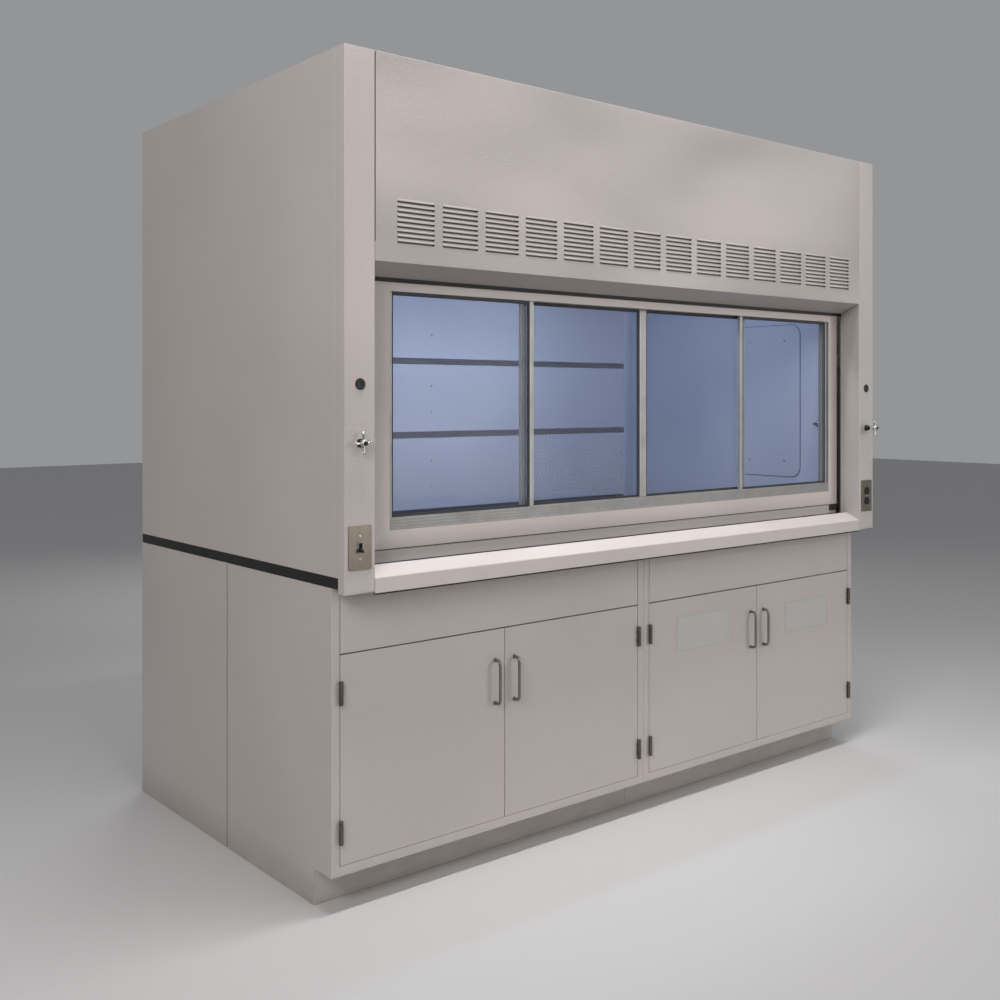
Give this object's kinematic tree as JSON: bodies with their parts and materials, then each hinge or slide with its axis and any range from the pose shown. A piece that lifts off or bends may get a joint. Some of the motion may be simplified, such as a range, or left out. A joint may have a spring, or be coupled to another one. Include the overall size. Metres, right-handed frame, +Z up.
{
  "type": "fume hood",
  "caption": "Wide benchtop fume hood with a counterbalanced combination sash, louvred front panel, service posts and two base cabinets with hinged doors.",
  "frame": {"origin": "on the floor, under the middle of the bounding box", "axes": "+X to the right along the hood's width, +Y to the back (the sash and doors face -Y), +Z up"},
  "size_m": [2.438, 1.372, 2.35],
  "materials": {
    "warm_grey_paint": "satin powder coat",
    "light_liner": "smooth fibre-reinforced panel",
    "black_resin": "honed epoxy resin",
    "mill_aluminium": "satin anodised",
    "brushed_steel": "brushed stainless steel",
    "chrome": "polished chrome plate",
    "dark_hinge": "dark bronze plate",
    "black_plastic": "moulded black plastic",
    "cast_weight": "rough cast",
    "clear_glass": "laminated safety glass"
  },
  "bodies": {
    "hood": {"access_panel": "light_liner", "airfoil": "warm_grey_paint", "apron_panel_left": "warm_grey_paint", "apron_panel_right": "warm_grey_paint", "back_panel": "light_liner", "baffle_lower": "light_liner", "baffle_middle": "light_liner", "baffle_upper": "light_liner", "cabinet_left": "warm_grey_paint", "cabinet_right": "warm_grey_paint", "ceiling_panel": "light_liner", "corner_post_left": "warm_grey_paint", "corner_post_right": "warm_grey_paint", "exhaust_collar": "brushed_steel", "front_panel": "warm_grey_paint", "hinge_1_lower": "dark_hinge", "hinge_1_upper": "dark_hinge", "hinge_2_lower": "dark_hinge", "hinge_2_upper": "dark_hinge", "hinge_3_lower": "dark_hinge", "hinge_3_upper": "dark_hinge", "hinge_4_lower": "dark_hinge", "hinge_4_upper": "dark_hinge", "hole_plug_left": "black_plastic", "hole_plug_right": "black_plastic", "light_fixture": "warm_grey_paint", "liner_left": "light_liner", "liner_right": "light_liner", "outlet_plate": "brushed_steel", "rear_base_frame": "warm_grey_paint", "sash_cable_left": "brushed_steel", "sash_cable_right": "brushed_steel", "side_panel_left": "warm_grey_paint", "side_panel_right": "warm_grey_paint", "switch_plate": "brushed_steel", "worktop": "black_resin"},
    "sash": {"sash_frame": "warm_grey_paint"},
    "pane_1": {"pane_frame_1": "mill_aluminium", "pane_glass_1": "clear_glass"},
    "pane_2": {"pane_frame_2": "mill_aluminium", "pane_glass_2": "clear_glass"},
    "pane_3": {"pane_frame_3": "mill_aluminium", "pane_glass_3": "clear_glass"},
    "pane_4": {"pane_frame_4": "mill_aluminium", "pane_glass_4": "clear_glass"},
    "door_leaf_1": {"door_1": "warm_grey_paint", "door_pull_1": "brushed_steel"},
    "door_leaf_2": {"door_2": "warm_grey_paint", "door_pull_2": "brushed_steel"},
    "door_leaf_3": {"door_3": "warm_grey_paint", "door_pull_3": "brushed_steel"},
    "door_leaf_4": {"door_4": "warm_grey_paint", "door_pull_4": "brushed_steel"},
    "valve_left": {"valve_handle_left": "chrome"},
    "sheave_left": {"pulley_left": "black_plastic"},
    "weight_left": {"counterweight_left": "cast_weight"},
    "valve_right": {"valve_handle_right": "chrome"},
    "sheave_right": {"pulley_right": "black_plastic"},
    "weight_right": {"counterweight_right": "cast_weight"},
    "toggle": {"switch_toggle": "black_plastic"}
  },
  "joints": [
    {"name": "sash_lift", "type": "slide", "parent": "hood", "child": "sash", "axis": [0, 0, 1], "range_m": [0, 0.56]},
    {"name": "pane_1_slide", "type": "slide", "parent": "sash", "child": "pane_1", "axis": [1, 0, 0], "range_m": [0, 0.48]},
    {"name": "pane_2_slide", "type": "slide", "parent": "sash", "child": "pane_2", "axis": [1, 0, 0], "range_m": [-0.5, 0]},
    {"name": "pane_3_slide", "type": "slide", "parent": "sash", "child": "pane_3", "axis": [1, 0, 0], "range_m": [0, 0.47]},
    {"name": "pane_4_slide", "type": "slide", "parent": "sash", "child": "pane_4", "axis": [1, 0, 0], "range_m": [-0.48, 0]},
    {"name": "door_1_hinge", "type": "hinge", "parent": "hood", "child": "door_leaf_1", "pos_m": [-1.192, -0.5755, 0.4], "axis": [0, 0, -1], "range_deg": [0, 150]},
    {"name": "door_2_hinge", "type": "hinge", "parent": "hood", "child": "door_leaf_2", "pos_m": [-0.0525, -0.5755, 0.4], "axis": [0, 0, 1], "range_deg": [0, 90]},
    {"name": "door_3_hinge", "type": "hinge", "parent": "hood", "child": "door_leaf_3", "pos_m": [0.0018, -0.5755, 0.4], "axis": [0, 0, -1], "range_deg": [0, 90]},
    {"name": "door_4_hinge", "type": "hinge", "parent": "hood", "child": "door_leaf_4", "pos_m": [1.1413, -0.5755, 0.4], "axis": [0, 0, 1], "range_deg": [0, 150]},
    {"name": "valve_left_turn", "type": "hinge", "parent": "hood", "child": "valve_left", "pos_m": [-1.1705, -0.651, 1.25], "axis": [0, -1, 0], "range_deg": [0, 360]},
    {"name": "valve_right_turn", "type": "hinge", "parent": "hood", "child": "valve_right", "pos_m": [1.1705, -0.673, 1.25], "axis": [0, -1, 0], "range_deg": [0, 360]},
    {"name": "light_switch", "type": "hinge", "parent": "hood", "child": "toggle", "pos_m": [-1.172, -0.629, 0.976], "axis": [-1, 0, 0], "range_deg": [0, 48]},
    {"name": "weight_left_drop", "type": "slide", "parent": "hood", "child": "weight_left", "axis": [0, 0, 1], "range_m": [-0.56, 0]},
    {"name": "sheave_left_spin", "type": "hinge", "parent": "hood", "child": "sheave_left", "pos_m": [-1.134, -0.47775, 2.19], "axis": [1, 0, 0], "range_deg": [-690, 0]},
    {"name": "weight_right_drop", "type": "slide", "parent": "hood", "child": "weight_right", "axis": [0, 0, 1], "range_m": [-0.56, 0]},
    {"name": "sheave_right_spin", "type": "hinge", "parent": "hood", "child": "sheave_right", "pos_m": [1.134, -0.47775, 2.19], "axis": [1, 0, 0], "range_deg": [-690, 0]}
  ],
  "couplings": [
    {"joint": "weight_left_drop", "follows": "sash_lift", "ratio": -1},
    {"joint": "sheave_left_spin", "follows": "sash_lift", "rad_per_m": -21.277},
    {"joint": "weight_right_drop", "follows": "sash_lift", "ratio": -1},
    {"joint": "sheave_right_spin", "follows": "sash_lift", "rad_per_m": -21.277}
  ]
}
